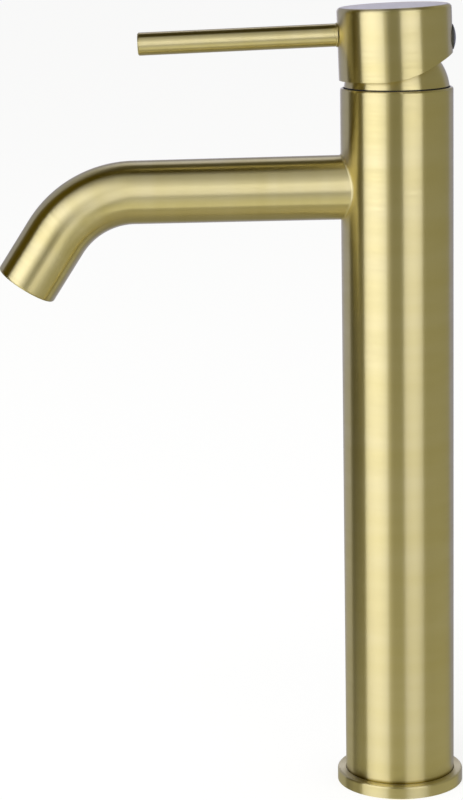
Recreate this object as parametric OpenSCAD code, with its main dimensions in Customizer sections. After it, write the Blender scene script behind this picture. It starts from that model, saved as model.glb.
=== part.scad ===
// Tall single-lever basin mixer with a pin lever and a bent round spout.
// Millimetres, +Z up. The origin is the centre of the foot, on the deck plane.
// Spout and lever point along -X. Drawn closed, at mid temperature.

/* [Column] */
// Outside diameter of the column
column_d = 42; // [41.5:0.5:48]
// Wall of the column round the valve body and the foot block
column_wall = 2.0; // [1.5:0.1:2.3]
// Width of the inner ledges that the valve body and the foot block bear on
ledge_w = 1.0; // [0.6:0.1:2]
// Width of the thin rim round the dome
rim_w = 1.1; // [0.8:0.05:1.5]
// Depth of the rim above the retaining nut
rim_depth = 2.0; // [1.5:0.1:3]
// Edge radius on the outside of the rim
rim_edge_r = 0.7; // [0.3:0.1:0.7]

/* [Foot] */
// How far the base ring stands out from the column
base_lip = 3.3; // [2.5:0.1:8]
// Height of the base ring
base_h = 4.8; // [3.5:0.1:10]
// Thickness of the base ring under the column
base_floor = 2.4; // [2:0.1:3]
// Edge radius of the base ring
base_edge_r = 0.8; // [0.3:0.1:1.2]
// Gap between the column and the ring's bore
base_gap = 0.15; // [0.05:0.05:0.3]
// Width of the gasket under the base ring
gasket_w = 2.4; // [1.5:0.1:2.6]
// Thickness of the gasket
gasket_t = 1.4; // [1:0.1:1.6]
// Height of the foot block above the deck
block_h = 20; // [18:0.5:40]
// Bore of each inlet for an M10 x 1 hose end
inlet_bore_d = 8.9; // [8.7:0.1:9.1]
// Depth of each inlet bore
inlet_depth = 11; // [8:0.5:11.5]
// Distance between the two inlets
inlet_pitch = 13; // [12.6:0.1:14]
// Distance of the inlets from the column axis towards the spout
inlet_x = 5.5; // [5.2:0.1:6]
// Bore for the M8 fixing stud
stud_bore_d = 6.8; // [6.6:0.1:8]
// Depth of the stud bore
stud_depth = 14; // [10:0.5:17]
// Distance of the stud from the column axis away from the spout
stud_x = 9.5; // [8:0.5:12]

/* [Water ways] */
// Outside diameter of the riser pipes
riser_d = 8; // [7:0.1:8.2]
// Wall of the riser pipes
riser_wall = 1.0; // [0.6:0.1:1.5]
// How deep each riser end stands in its socket
riser_socket = 6.2; // [5:0.1:7]
// Thickness of the small seal rings on the risers
riser_seal_t = 1.4; // [1:0.1:1.6]
// Thickness of the seal rings between valve body and column
port_seal_t = 1.8; // [1.4:0.1:2]
// Height of the valve body's foot under the spout axis
valve_drop = 18; // [17:0.5:30]
// Radius of the mixing chamber in the valve body
chamber_r = 15; // [13:0.1:15.5]
// Half height of the mixing chamber
chamber_half_h = 9; // [7:0.1:9.2]
// Radius of the window from the chamber to the spout
window_r = 8.6; // [6:0.1:8.8]
// Metal of the valve body above its upper seal ring
seat_cover = 1.1; // [0.8:0.1:4]
// Wall round the two inlet ways where they pass the chamber
post_wall = 1.0; // [0.8:0.1:1.4]
// How much wider the body's outlet port is than the cartridge's, on the radius
outlet_port_over = 0.4; // [0:0.1:0.6]

/* [Spout] */
// Height of the spout axis at the column
spout_h = 233; // [90:0.5:320]
// Outside diameter of the spout tube
spout_d = 23.9; // [22:0.1:25]
// Wall of the spout tube
spout_wall = 1.6; // [1.4:0.1:1.9]
// Column axis to the start of the bend
spout_run = 98.2; // [60:0.1:160]
// Centre-line radius of the bend
bend_r = 35.8; // [26:0.1:60]
// Angle of the bend
bend_angle = 56.4; // [30:0.1:90]
// Straight length after the bend
outlet_len = 21.8; // [18:0.1:60]
// Downward slope of the straight spout in degrees
spout_slope = 0.4; // [0:0.1:5]
// Edge radius of the spout's mouth
mouth_edge_r = 1.0; // [0.3:0.1:1.2]
// Wall left round the flow straightener
mouth_wall = 1.2; // [1.1:0.05:1.5]
// Depth of the flow straightener's seat
mouth_depth = 10; // [9.5:0.1:14]
// How far the flow straightener sits back from the mouth
mouth_inset = 1.0; // [0.5:0.1:2]

/* [Flow straightener] */
// Thickness of the rubber washer above it
washer_t = 1.6; // [1:0.1:2]
// Width of the rubber washer
washer_w = 3; // [2:0.1:4]
// Wall of its sleeve
sleeve_wall = 1.3; // [1:0.1:2]
// Ledge inside the sleeve that keeps the flow plate and the grille apart
sleeve_ledge = 0.6; // [0.4:0.1:1]
// Width of the two coin slots in the sleeve's end
coin_slot_w = 2.4; // [1.5:0.1:3]
// Depth of the coin slots
coin_slot_depth = 0.6; // [0.4:0.1:0.8]
// Thickness of the outlet grille
grille_t = 1.2; // [0.8:0.1:2]
// Pitch of the square grille cells
cell_pitch = 2.1; // [1.9:0.05:3]
// Bar between the grille cells
cell_bar = 0.6; // [0.4:0.05:0.8]
// Least width of the grille's rim
grille_rim = 0.7; // [0.5:0.1:1.2]
// Thickness of the flow plate
flow_plate_t = 2.0; // [1:0.1:3]
// Diameter of each hole in the flow plate
flow_hole_d = 1.6; // [0.8:0.1:1.8]
// Distance between the rings of holes in the flow plate
flow_ring_pitch = 2.4; // [2.2:0.1:2.6]

/* [Cartridge] */
// Outside diameter of the cartridge
cartridge_d = 35; // [34:0.1:35.5]
// Wall of the cartridge housing
housing_wall = 1.8; // [1.4:0.1:2]
// Thickness of the cartridge base
cart_base_t = 3.2; // [2.8:0.1:5]
// Distance of the cartridge's pegs from its middle plane, away from the spout
peg_x = 3; // [2.5:0.1:3.5]
// Distance of each peg to the side
peg_y = 13.2; // [13:0.1:13.6]
// Radius of the pegs
peg_r = 1.5; // [1:0.1:1.8]
// Length of the pegs below the cartridge base
peg_len = 2.2; // [1.5:0.1:2.6]
// Width of the small seal rings under the cartridge base
base_seal_w = 1.7; // [1:0.1:1.8]
// Thickness of those seal rings
base_seal_t = 1.5; // [1:0.1:2]
// Thickness of the fixed ceramic disc
fixed_disc_t = 2.6; // [2:0.1:4]
// Gap between the fixed disc and the housing
disc_gap = 0.4; // [0.2:0.1:0.6]
// Inner radius of the two curved inlet slots in the fixed disc
inlet_slot_in = 6.3; // [6:0.1:7]
// Outer radius of the inlet slots
inlet_slot_out = 10.6; // [9:0.1:11]
// Angle from the rear to the near end of an inlet slot
inlet_slot_angle = 110; // [100:1:120]
// Angle that an inlet slot spans
inlet_slot_span_angle = 40; // [30:1:45]
// Inner radius of the outlet slot in the fixed disc
outlet_slot_in = 4.2; // [4:0.1:5]
// Outer radius of the outlet slot
outlet_slot_out = 10.2; // [9:0.1:11]
// Half angle of the outlet slot
outlet_slot_angle = 38; // [30:1:45]
// Thickness of the moving ceramic disc
moving_disc_t = 2.5; // [2.2:0.1:4]
// Radius of the moving ceramic disc
moving_disc_r = 11; // [10.5:0.1:12]
// Depth of the mixing hollow under the moving disc
hollow_depth = 1.3; // [0.8:0.1:1.6]
// Radius of the mixing hollow
mix_r = 7.2; // [6.8:0.1:7.4]
// Offset of the mixing hollow away from the spout
mix_x = 1.5; // [1:0.1:1.8]
// Thickness of the carrier plate
carrier_t = 2.0; // [1.6:0.1:2.1]
// How far the carrier stands out beyond the moving disc
carrier_lip = 1.0; // [0.5:0.1:1.1]
// How far the carrier's boss stands above the ball's middle
boss_over = 1.0; // [0.6:0.1:1.2]
// Bore of the water ports in the cartridge
port_d = 6; // [5:0.1:6.4]
// Distance of the outlet port from the cartridge's axis, away from the spout
outlet_port_x = 7; // [6.9:0.1:7.3]
// Height of the stem's ball above the foot of the carrier
ball_rise = 3.2; // [3.1:0.1:3.6]
// Radius of the stem's ball
ball_r = 2.6; // [2.2:0.1:2.8]
// Distance from the pivot pin down to the ball
lower_arm = 9.3; // [9:0.1:11]
// Thickness of the rotor's flange
flange_t = 3.4; // [2.5:0.1:4]
// Gap between the rotor's flange and the housing
flange_gap = 0.3; // [0.2:0.05:0.5]
// Radius of the rotor's neck
rotor_r = 12.3; // [12:0.1:12.5]
// Thickness of the housing's shoulder
shoulder_t = 1.5; // [1:0.1:1.8]
// Wall of the housing's neck
neck_wall = 2.0; // [1.5:0.1:2.1]
// Height of the housing's neck above the shoulder
neck_h = 8.8; // [8:0.1:9.2]
// How far the rotor stands out of the neck
rotor_rise = 2.5; // [1:0.1:3]
// Angle of the temperature swing to each side, in degrees
swing_angle = 50; // [30:1:55]
// Half angle of the stop rib in degrees
stop_angle = 7; // [5:1:12]
// Spare angle left at the stop in degrees
spare_angle = 0.8; // [0.2:0.1:1.5]
// Gap between the stop rib and the rotor's neck
stop_gap = 1.6; // [1.2:0.1:2]
// Gap between the tip of the stop rib and the bottom of its notch
notch_gap = 0.4; // [0.2:0.1:0.6]

/* [Retaining nut] */
// Radius of the nut's collar
collar_r = 17.3; // [17:0.05:17.4]
// Height of the collar above the rim's floor
collar_h = 2.3; // [2.2:0.1:2.6]
// Height of the hexagon
hex_h = 2.8; // [2:0.1:3]
// Radius to the corners of the hexagon
hex_r = 17.1; // [16.8:0.1:17.2]
// Thickness of the seal ring that grips the dome
dome_seal_t = 1.4; // [1.1:0.05:1.45]
// Height of that seal ring above the rim's floor
dome_seal_rise = 1.0; // [0.8:0.05:1.3]

/* [Dome] */
// How much smaller the dome is than the bore of the rim, on the radius
dome_gap = 0.2; // [0.1:0.05:0.4]
// How far the black ring under the dome's edge stands above the rim
rim_seal_rise = 0.45; // [0.2:0.05:0.7]
// Width of that ring
rim_seal_w = 0.4; // [0.3:0.05:0.45]
// How far the ring sits back from the dome's outside
rim_seal_back = 0.2; // [0.2:0.05:0.3]
// Wall of the dome
dome_wall = 1.3; // [1:0.05:1.35]
// Height of the column's top edge above the pivot
dome_sink = 1.9; // [1:0.1:1.9]
// Angle from the vertical to the edge of the dome's opening
dome_open_angle = 50; // [49:1:51]

/* [Stem] */
// Width of the square stem
stem_w = 8; // [7:0.1:8.4]
// Length of the stem above the pivot
stem_len = 26; // [24:0.5:27]
// Length of the square below the pivot
stem_tail = 4; // [3.5:0.1:5]
// Radius of the round end that carries the ball
stem_neck_r = 1.8; // [1.4:0.1:2]
// Gap between the stem and each side of the rotor's slot
stem_gap = 0.2; // [0.1:0.05:0.3]
// Gap between the stem and the ends of the slot at full lift
slot_gap = 0.35; // [0.2:0.05:0.6]
// Angle of the full lift of the lever, in degrees
lift_angle = 25; // [15:1:25]
// Radius of the pivot pin
pin_r = 1.5; // [1:0.1:2]
// Length of the pivot pin
pin_len = 22; // [18:0.5:23.5]

/* [Handle] */
// How far the handle stands out beyond the column, on the radius
handle_over = 0.2; // [0:0.05:2]
// Height of the handle's top face above the pivot
handle_top = 31.9; // [30:0.1:50]
// Edge radius of the handle's top
handle_edge_r = 1.5; // [0.3:0.1:2]
// Height of the front lower edge above the pivot
cut_h = 5.4; // [4.5:0.1:8]
// Distance from the axis to where the lower edge turns up
cut_x = 3.3; // [0:0.1:6]
// Slope of the rear lower edge in degrees
cut_angle = 26; // [22:0.5:30]
// Radius between the flat and the sloped lower edge
cut_r = 46; // [10:1:60]
// Nose-down tilt of the closed handle in degrees
rest_tilt = 1.6; // [0:0.1:4]
// Gap between the dome and the hollow of the handle
hollow_gap = 0.4; // [0.3:0.05:0.6]
// Radius of the core that holds the stem
core_r = 7.5; // [7.3:0.1:7.7]
// Offset of the core towards the spout
core_x = 2.2; // [1.9:0.1:2.5]
// Height of the core's foot above the pivot
core_z = 12.8; // [12.5:0.1:15]

/* [Lever] */
// Diameter of the lever rod
lever_d = 8.5; // [7:0.1:10]
// Height of the lever axis above the pivot
lever_z = 22.05; // [20:0.05:26]
// Column axis to the tip of the lever
lever_reach = 94.8; // [60:0.1:140]
// Edge chamfer of the lever rod's tip
lever_edge = 0.45; // [0.2:0.05:1]
// How far the small flare at the rod's root stands out
flare_over = 0.25; // [0.1:0.05:0.6]
// Length of the flare
flare_len = 0.8; // [0.6:0.1:1.5]
// Depth of the flat seat for the rod's end in the handle
lever_seat = 0.3; // [0.1:0.05:0.6]
// Diameter of the lever's screwed neck
lever_neck_d = 6; // [4:0.1:6.5]
// Depth of the screwed neck in the handle
lever_neck_len = 8.5; // [6:0.1:9]

/* [Clamp screw and plug] */
// Height of the screw and the plug above the pivot
plug_z = 19.5; // [19.1:0.1:20.5]
// Diameter of the plug
plug_d = 9.3; // [7:0.1:9.6]
// Depth of the plug's seat
plug_depth = 3.0; // [2:0.1:4]
// How far the plug's round edge stands out of the handle
plug_edge = 0.25; // [0.1:0.05:0.6]
// Height of the plug's domed end above that edge
plug_rise = 1.0; // [0.5:0.1:2]
// Diameter of the clamp screw
grub_d = 3; // [2.5:0.1:3.1]
// Length of the clamp screw
grub_len = 7.6; // [6:0.1:7.8]
// Width across flats of the screw's hexagon socket
grub_key = 1.5; // [1.3:0.1:1.8]
// Depth of the hexagon socket
grub_key_depth = 2.0; // [1.5:0.1:3]

/* [Fits] */
// Radial gap of pieces that are screwed, pressed or brazed together
fit_gap = 0.05; // [0.02:0.01:0.1]
// Radial gap of pieces that turn or slide on each other
run_gap = 0.07; // [0.04:0.01:0.1]
// Gap between faces that slide over each other
face_gap = 0.1; // [0.05:0.01:0.2]
// Gap round the stem in the handle's square socket
socket_gap = 0.1; // [0.05:0.01:0.15]

/* [Hidden] */
$fn = 96;
// How far a cut reaches past the face that it opens
over = 1;
// A length for cuts that go right through
big = 60;
// Shapes that are joined into one piece overlap by this much
weld = 0.2;
// The straight tube is this much thinner than the bend, and laps this far into it
joint_step = 0.02;
joint_lap = 0.8;
// Fineness of the large round of the handle's lower edge
cut_fn = 180;

gold = [0.78, 0.70, 0.42];
brass = [0.72, 0.60, 0.32];
copper = [0.75, 0.45, 0.30];
rubber = [0.12, 0.12, 0.12];
plastic_white = [0.88, 0.88, 0.85];
plastic_grey = [0.45, 0.47, 0.50];
plastic_dark = [0.22, 0.23, 0.24];
ceramic = [0.93, 0.91, 0.86];
steel = [0.66, 0.67, 0.69];

// Column radii, from the outside in
column_r = column_d / 2;
rim_r = column_r - rim_w;
bore_r = column_r - column_wall;
ledge_r = bore_r - ledge_w;
insert_r = bore_r - fit_gap;

// Foot
base_r = column_r + base_lip;
gasket_mid_r = (bore_r + base_r) / 2;
riser_r = riser_d / 2;
inlet_y = inlet_pitch / 2;

// Heights from the deck up
spout_r = spout_d / 2;
spout_bore_r = spout_r - spout_wall;
port_seal_z = spout_r + port_seal_t / 2 + fit_gap;
valve_foot_z = spout_h - valve_drop;
seat_z = spout_h + port_seal_z + seat_cover;
fixed_disc_z = seat_z + cart_base_t;
moving_disc_z = fixed_disc_z + fixed_disc_t;
carrier_z = moving_disc_z + moving_disc_t;
ball_z = carrier_z + ball_rise;
pivot_z = ball_z + lower_arm;
column_top = pivot_z + dome_sink;
rim_floor_z = column_top - rim_depth;
flange_z = carrier_z + carrier_t + 2 * face_gap;
ceiling_z = flange_z + flange_t + face_gap;
shoulder_z = ceiling_z + shoulder_t;
neck_top_z = shoulder_z + neck_h;
rotor_top_z = neck_top_z + rotor_rise;

// Cartridge radii
cartridge_r = cartridge_d / 2;
housing_bore_r = cartridge_r - housing_wall;
fixed_disc_r = housing_bore_r - disc_gap;
flange_r = housing_bore_r - flange_gap;
stop_r = rotor_r + stop_gap;
carrier_r = moving_disc_r + carrier_lip;
neck_bore_r = rotor_r + run_gap;
neck_r = neck_bore_r + neck_wall;
port_r = port_d / 2;
base_seal_in = port_r + face_gap;
base_seal_out = base_seal_in + base_seal_w;
cup_r = cartridge_r + 2 * fit_gap;

// The ball pushes the discs along by this much to each side of the middle
lean = lift_angle / 2;
disc_shift = lower_arm * sin(lean);
slot_w = stem_w + 2 * stem_gap;
rotor_above = rotor_top_z - pivot_z;
boss_r = slot_w / 2 - run_gap;
slot_half = max(rotor_above * tan(lean) + stem_w / 2 / cos(lean), disc_shift + boss_r) + slot_gap;

// Flow straightener, with heights from the mouth
sleeve_r = spout_r - mouth_wall - fit_gap;
sleeve_top = -mouth_depth + washer_t;
sleeve_foot = -mouth_inset;
grille_r = sleeve_r - sleeve_wall;

// Dome and handle
dome_r = rim_r - dome_gap;
dome_inner_r = dome_r - dome_wall;
handle_r = column_r + handle_over;
hollow_r = dome_r + hollow_gap;
dome_foot = rim_floor_z - pivot_z;
dome_edge_z = column_top + rim_seal_rise + fit_gap;
rim_seal_out = dome_r - rim_seal_back;
rim_seal_in = rim_seal_out - rim_seal_w;
dome_seal_z = rim_floor_z + dome_seal_rise;
dome_seal_r = dome_inner_r - dome_seal_t - fit_gap / 2;
stem_tilt = lean - rest_tilt;

// ---------- shapes that repeat ----------

// Tube from height a to height b
module tube(a, b, outer, inner) {
    difference() {
        translate([0, 0, a]) cylinder(h = b - a, r = outer);
        translate([0, 0, a - over]) cylinder(h = b - a + 2 * over, r = inner);
    }
}

// Round seal ring of thickness t whose inside just clears radius r
module seal_ring(z, inner, t) {
    translate([0, 0, z])
        rotate_extrude() translate([inner + t / 2, 0]) circle(d = t);
}

// Square-edged groove for a seal ring
module seal_groove(z, inner, outer, t) {
    tube(z - t / 2 - fit_gap, z + t / 2 + fit_gap, outer, inner);
}

// Corner to take off a 2D outline so that its upper right corner is round
module corner_off(x, y, r) {
    translate([x - r, y - r]) difference() {
        square(r + over);
        circle(r = r);
    }
}

// Groove for the seal ring round a riser, at its foot or its head
module riser_groove(z) {
    seal_groove(z, riser_r, riser_r + riser_seal_t + fit_gap, riser_seal_t);
}

// Both inlets, hot on the +Y side and cold on the -Y side
module at_inlets() {
    for (side = [1, -1]) translate([-inlet_x, side * inlet_y, 0]) children();
}

// Part of a ring between two angles under 180 degrees apart, as a flat outline
module ring_part(inner, outer, from, to) {
    mid = (from + to) / 2;
    reach = 2 * outer / cos((to - from) / 4);
    intersection() {
        difference() {
            circle(r = outer);
            circle(r = inner);
        }
        polygon([
            [0, 0],
            [reach * cos(from), reach * sin(from)],
            [reach * cos(mid), reach * sin(mid)],
            [reach * cos(to), reach * sin(to)]
        ]);
    }
}

// ---------- frames ----------

// Spout frame: origin on the column axis, tube running along -X
module in_spout() {
    translate([0, 0, spout_h]) rotate([0, -spout_slope, 0]) children();
}

// Frame at the end of the bend, with the tube still running along -X
module after_bend() {
    in_spout() translate([-spout_run, 0, -bend_r]) rotate([0, -bend_angle, 0])
        translate([0, 0, bend_r]) children();
}

// Frame at the mouth, with +Z pointing out of the spout
module at_mouth() {
    after_bend() translate([-outlet_len, 0, 0]) rotate([0, -90, 0]) children();
}

// Handle frame: origin on the pivot, +Z along the handle's own axis
module in_handle() {
    translate([0, 0, pivot_z]) rotate([0, -rest_tilt, 0]) children();
}

// Stem frame: the stem leans forward by half the lift when closed
module in_stem() {
    translate([0, 0, pivot_z]) rotate([0, -lean, 0]) children();
}

// ---------- column and foot ----------

module column_outline() {
    difference() {
        square([column_r, column_top]);
        corner_off(column_r, column_top, rim_edge_r);
        square([column_r + over, base_floor]);
        square([bore_r, block_h]);
        square([ledge_r, column_top + over]);
        translate([0, valve_foot_z]) square([bore_r, column_top]);
        translate([0, rim_floor_z]) square([rim_r, column_top]);
    }
}

module column_shell() {
    color(gold) difference() {
        rotate_extrude() column_outline();
        in_spout() rotate([0, -90, 0]) cylinder(h = column_d, r = spout_r + fit_gap);
    }
}

module base_outline() {
    difference() {
        square([base_r, base_h]);
        corner_off(base_r, base_h, base_edge_r);
        square([bore_r, base_h]);
        translate([0, base_floor]) square([column_r + base_gap, base_h]);
        translate([gasket_mid_r - gasket_w / 2 - fit_gap, -over])
            square([gasket_w + 2 * fit_gap, gasket_t + over]);
    }
}

module base_ring() {
    color(gold) rotate_extrude() base_outline();
}

module base_gasket() {
    color(rubber) tube(0, gasket_t, gasket_mid_r + gasket_w / 2, gasket_mid_r - gasket_w / 2);
}

module foot_block() {
    color(brass) difference() {
        cylinder(h = block_h, r = insert_r);
        at_inlets() {
            translate([0, 0, -over]) cylinder(h = inlet_depth + over, d = inlet_bore_d);
            cylinder(h = block_h, r = riser_r - riser_wall);
            translate([0, 0, block_h - riser_socket - face_gap])
                cylinder(h = block_h, r = riser_r + fit_gap);
            riser_groove(block_h - riser_socket / 2);
        }
        translate([stud_x, 0, -over]) cylinder(h = stud_depth + over, d = stud_bore_d);
    }
}

// ---------- water ways ----------

module riser(side) {
    translate([-inlet_x, side * inlet_y, 0])
        tube(block_h - riser_socket, valve_foot_z + riser_socket, riser_r, riser_r - riser_wall);
}

module hot_riser() {
    color(copper) riser(1);
}

module cold_riser() {
    color(copper) riser(-1);
}

module riser_seals() {
    color(rubber) at_inlets()
        for (z = [block_h - riser_socket / 2, valve_foot_z + riser_socket / 2])
            seal_ring(z, riser_r + fit_gap / 2, riser_seal_t);
}

module valve_body() {
    color(brass) difference() {
        translate([0, 0, valve_foot_z]) cylinder(h = shoulder_z - valve_foot_z, r = insert_r);
        // cup for the cartridge
        translate([0, 0, seat_z]) cylinder(h = big, r = cup_r);
        // mixing chamber round the two inlet pipes, with its window to the spout
        difference() {
            translate([0, 0, spout_h])
                cylinder(h = 2 * chamber_half_h, r = chamber_r, center = true);
            at_inlets() cylinder(h = column_top, r = riser_r + fit_gap + post_wall);
        }
        difference() {
            translate([0, 0, spout_h]) rotate([0, -90, 0]) cylinder(h = column_d, r = window_r);
            at_inlets() cylinder(h = column_top, r = riser_r + fit_gap + post_wall);
        }
        // ports through the seat
        at_inlets() {
            cylinder(h = column_top, r = port_r);
            translate([0, 0, valve_foot_z - over])
                cylinder(h = riser_socket + face_gap + over, r = riser_r + fit_gap);
            riser_groove(valve_foot_z + riser_socket / 2);
        }
        translate([outlet_port_x, 0, spout_h]) cylinder(h = column_top, r = port_r + outlet_port_over);
        // holes for the cartridge's pegs
        for (side = [1, -1]) translate([peg_x, side * peg_y, seat_z - peg_len - face_gap])
            cylinder(h = big, r = peg_r + face_gap);
        // grooves for the seal rings above and below the port
        for (z = [spout_h - port_seal_z, spout_h + port_seal_z])
            seal_groove(z, bore_r - port_seal_t - fit_gap, bore_r + over, port_seal_t);
    }
}

module port_seals() {
    color(rubber) for (z = [spout_h - port_seal_z, spout_h + port_seal_z])
        seal_ring(z, bore_r - port_seal_t - fit_gap / 2, port_seal_t);
}

// ---------- spout ----------

// Straight and bent length of the spout's path with radius r. The straights are a hair
// thinner than the bend and reach a little into it, so that no two surfaces coincide.
module spout_rod(r) {
    in_spout() {
        rotate([0, -90, 0]) cylinder(h = spout_run + joint_lap, r = r - joint_step);
        translate([-spout_run, 0, -bend_r]) rotate([90, 0, 0])
            rotate_extrude(angle = bend_angle, start = 90) translate([bend_r, 0]) circle(r = r);
    }
}

// Outline of the last straight: round-edged at the mouth, and lapped into the bend
module outlet_outline() {
    difference() {
        translate([0, -outlet_len - joint_lap])
            square([spout_r - joint_step, outlet_len + joint_lap]);
        corner_off(spout_r - joint_step, 0, mouth_edge_r);
    }
}

module outlet_bore_outline() {
    translate([0, -outlet_len - joint_lap])
        square([spout_bore_r - joint_step, outlet_len + joint_lap + over]);
    translate([0, -mouth_depth]) square([spout_r - mouth_wall, mouth_depth + over]);
}

module spout_tube() {
    color(gold) difference() {
        union() {
            spout_rod(spout_r);
            at_mouth() rotate_extrude() outlet_outline();
        }
        spout_rod(spout_bore_r);
        at_mouth() rotate_extrude() outlet_bore_outline();
        cylinder(h = column_top, r = bore_r);
    }
}

// ---------- flow straightener ----------

module outlet_washer() {
    color(rubber) at_mouth() tube(-mouth_depth, sleeve_top, sleeve_r, sleeve_r - washer_w);
}

module outlet_sleeve() {
    color(plastic_grey) at_mouth() difference() {
        tube(sleeve_top, sleeve_foot, sleeve_r, grille_r - sleeve_ledge);
        translate([0, 0, sleeve_foot - grille_t]) cylinder(h = big, r = grille_r);
        translate([0, 0, sleeve_top - over]) cylinder(h = flow_plate_t + over, r = grille_r);
        // slots for a coin, at both sides
        translate([0, 0, sleeve_foot])
            cube([2 * big, coin_slot_w, 2 * coin_slot_depth], center = true);
    }
}

module flow_plate() {
    color(plastic_white) at_mouth() translate([0, 0, sleeve_top]) difference() {
        cylinder(h = flow_plate_t, r = grille_r - fit_gap);
        // six holes round the middle, then twelve, then eighteen
        for (ring = [1, 2, 3]) for (k = [0 : ring * 6 - 1])
            rotate([0, 0, k * 60 / ring]) translate([ring * flow_ring_pitch, 0, -over])
                cylinder(h = flow_plate_t + 2 * over, d = flow_hole_d);
    }
}

module outlet_grille() {
    cells = floor(grille_r / cell_pitch);
    cell = cell_pitch - cell_bar;
    // distance from the middle to the far edge of cell number i
    function edge(i) = abs(i) * cell_pitch + cell / 2;
    color(plastic_grey) at_mouth() translate([0, 0, sleeve_foot - grille_t]) difference() {
        cylinder(h = grille_t, r = grille_r - fit_gap);
        for (i = [-cells : cells]) for (j = [-cells : cells])
            if (norm([edge(i), edge(j)]) < grille_r - grille_rim)
                translate([i * cell_pitch, j * cell_pitch, grille_t / 2])
                    cube([cell, cell, grille_t + over], center = true);
    }
}

// ---------- cartridge, fixed pieces ----------

module at_ports() {
    at_inlets() children();
    translate([outlet_port_x, 0, 0]) children();
}

module cartridge_base() {
    color(plastic_white) {
        difference() {
            translate([0, 0, seat_z]) cylinder(h = cart_base_t, r = cartridge_r);
            at_ports() translate([0, 0, seat_z - over]) {
                cylinder(h = cart_base_t + 2 * over, r = port_r);
                cylinder(h = base_seal_t + over, r = base_seal_out + face_gap);
            }
        }
        for (side = [1, -1]) translate([peg_x, side * peg_y, seat_z - peg_len])
            cylinder(h = peg_len + weld, r = peg_r);
    }
}

module base_seals() {
    color(rubber) at_ports() tube(seat_z, seat_z + base_seal_t, base_seal_out, base_seal_in);
}

module fixed_disc() {
    from = inlet_slot_angle;
    to = inlet_slot_angle + inlet_slot_span_angle;
    color(ceramic) translate([0, 0, fixed_disc_z]) linear_extrude(fixed_disc_t) difference() {
        circle(r = fixed_disc_r);
        ring_part(inlet_slot_in, inlet_slot_out, from, to);
        ring_part(inlet_slot_in, inlet_slot_out, -to, -from);
        ring_part(outlet_slot_in, outlet_slot_out, -outlet_slot_angle, outlet_slot_angle);
    }
}

module cartridge_housing() {
    color(plastic_white) {
        difference() {
            tube(fixed_disc_z, shoulder_z, cartridge_r, neck_bore_r);
            translate([0, 0, fixed_disc_z - over])
                cylinder(h = ceiling_z - fixed_disc_z + over, r = housing_bore_r);
        }
        tube(shoulder_z - weld, neck_top_z, neck_r, neck_bore_r);
        // rib that stops the rotor at both ends of the temperature swing
        translate([0, 0, flange_z]) linear_extrude(ceiling_z - flange_z + weld)
            ring_part(stop_r, housing_bore_r + weld, -stop_angle, stop_angle);
    }
}

module retaining_nut() {
    body = rim_floor_z - shoulder_z;
    color(brass) difference() {
        translate([0, 0, shoulder_z]) {
            cylinder(h = body, r = insert_r);
            cylinder(h = body + collar_h, r = collar_r);
            cylinder(h = body + collar_h + hex_h, r = hex_r, $fn = 6);
        }
        translate([0, 0, shoulder_z - over]) cylinder(h = big, r = neck_r + 2 * fit_gap);
        seal_groove(dome_seal_z, dome_seal_r - fit_gap, dome_inner_r, dome_seal_t);
    }
}

module dome_seal() {
    color(rubber) seal_ring(dome_seal_z, dome_seal_r - fit_gap / 2, dome_seal_t);
}

// Half outline of the dome, with its edge above the rim and a thinner neck inside it
module dome_outline() {
    difference() {
        circle(r = dome_r);
        circle(r = dome_inner_r);
        translate([-big, -big]) square([big, 2 * big]);
        translate([0, dome_foot - big]) square([big, big]);
        translate([rim_seal_in - fit_gap, -big]) square([big, big + dome_edge_z - pivot_z]);
        translate([0, dome_r * cos(dome_open_angle)]) square([big, big]);
    }
}

module dome_cover() {
    color(gold) translate([0, 0, pivot_z]) rotate_extrude() dome_outline();
}

// Black ring round the dome's neck, between the dome's edge and the rim's floor
module rim_seal() {
    color(rubber) tube(rim_floor_z, column_top + rim_seal_rise, rim_seal_out, rim_seal_in);
}

// ---------- cartridge, moving pieces ----------

module rotor() {
    notch = swing_angle + stop_angle + spare_angle;
    color(plastic_grey) difference() {
        union() {
            translate([0, 0, flange_z]) linear_extrude(flange_t) difference() {
                circle(r = flange_r);
                ring_part(stop_r - notch_gap, flange_r + over, -notch, notch);
            }
            translate([0, 0, flange_z]) cylinder(h = rotor_top_z - flange_z, r = rotor_r);
        }
        translate([-slot_half, -slot_w / 2, flange_z - over]) cube([2 * slot_half, slot_w, big]);
        translate([0, 0, pivot_z]) rotate([90, 0, 0])
            cylinder(h = big, r = pin_r + fit_gap, center = true);
    }
}

module pivot_pin() {
    color(steel) translate([0, 0, pivot_z]) rotate([90, 0, 0])
        cylinder(h = pin_len, r = pin_r, center = true);
}

module moving_disc() {
    color(ceramic) translate([disc_shift, 0, moving_disc_z]) difference() {
        cylinder(h = moving_disc_t, r = moving_disc_r);
        translate([mix_x, 0, -over]) cylinder(h = hollow_depth + over, r = mix_r);
    }
}

module disc_carrier() {
    color(plastic_dark) translate([disc_shift, 0, carrier_z]) difference() {
        union() {
            cylinder(h = carrier_t, r = carrier_r);
            cylinder(h = ball_rise + boss_over, r = boss_r);
        }
        translate([0, 0, -over]) cylinder(h = big, r = ball_r + run_gap);
    }
}

module stem() {
    color(brass) in_stem() difference() {
        union() {
            translate([-stem_w / 2, -stem_w / 2, -stem_tail])
                cube([stem_w, stem_w, stem_len + stem_tail]);
            translate([0, 0, -lower_arm]) cylinder(h = lower_arm, r = stem_neck_r);
            translate([0, 0, -lower_arm]) sphere(r = ball_r);
        }
        rotate([90, 0, 0]) cylinder(h = big, r = pin_r + fit_gap, center = true);
    }
}

// ---------- handle ----------

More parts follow.
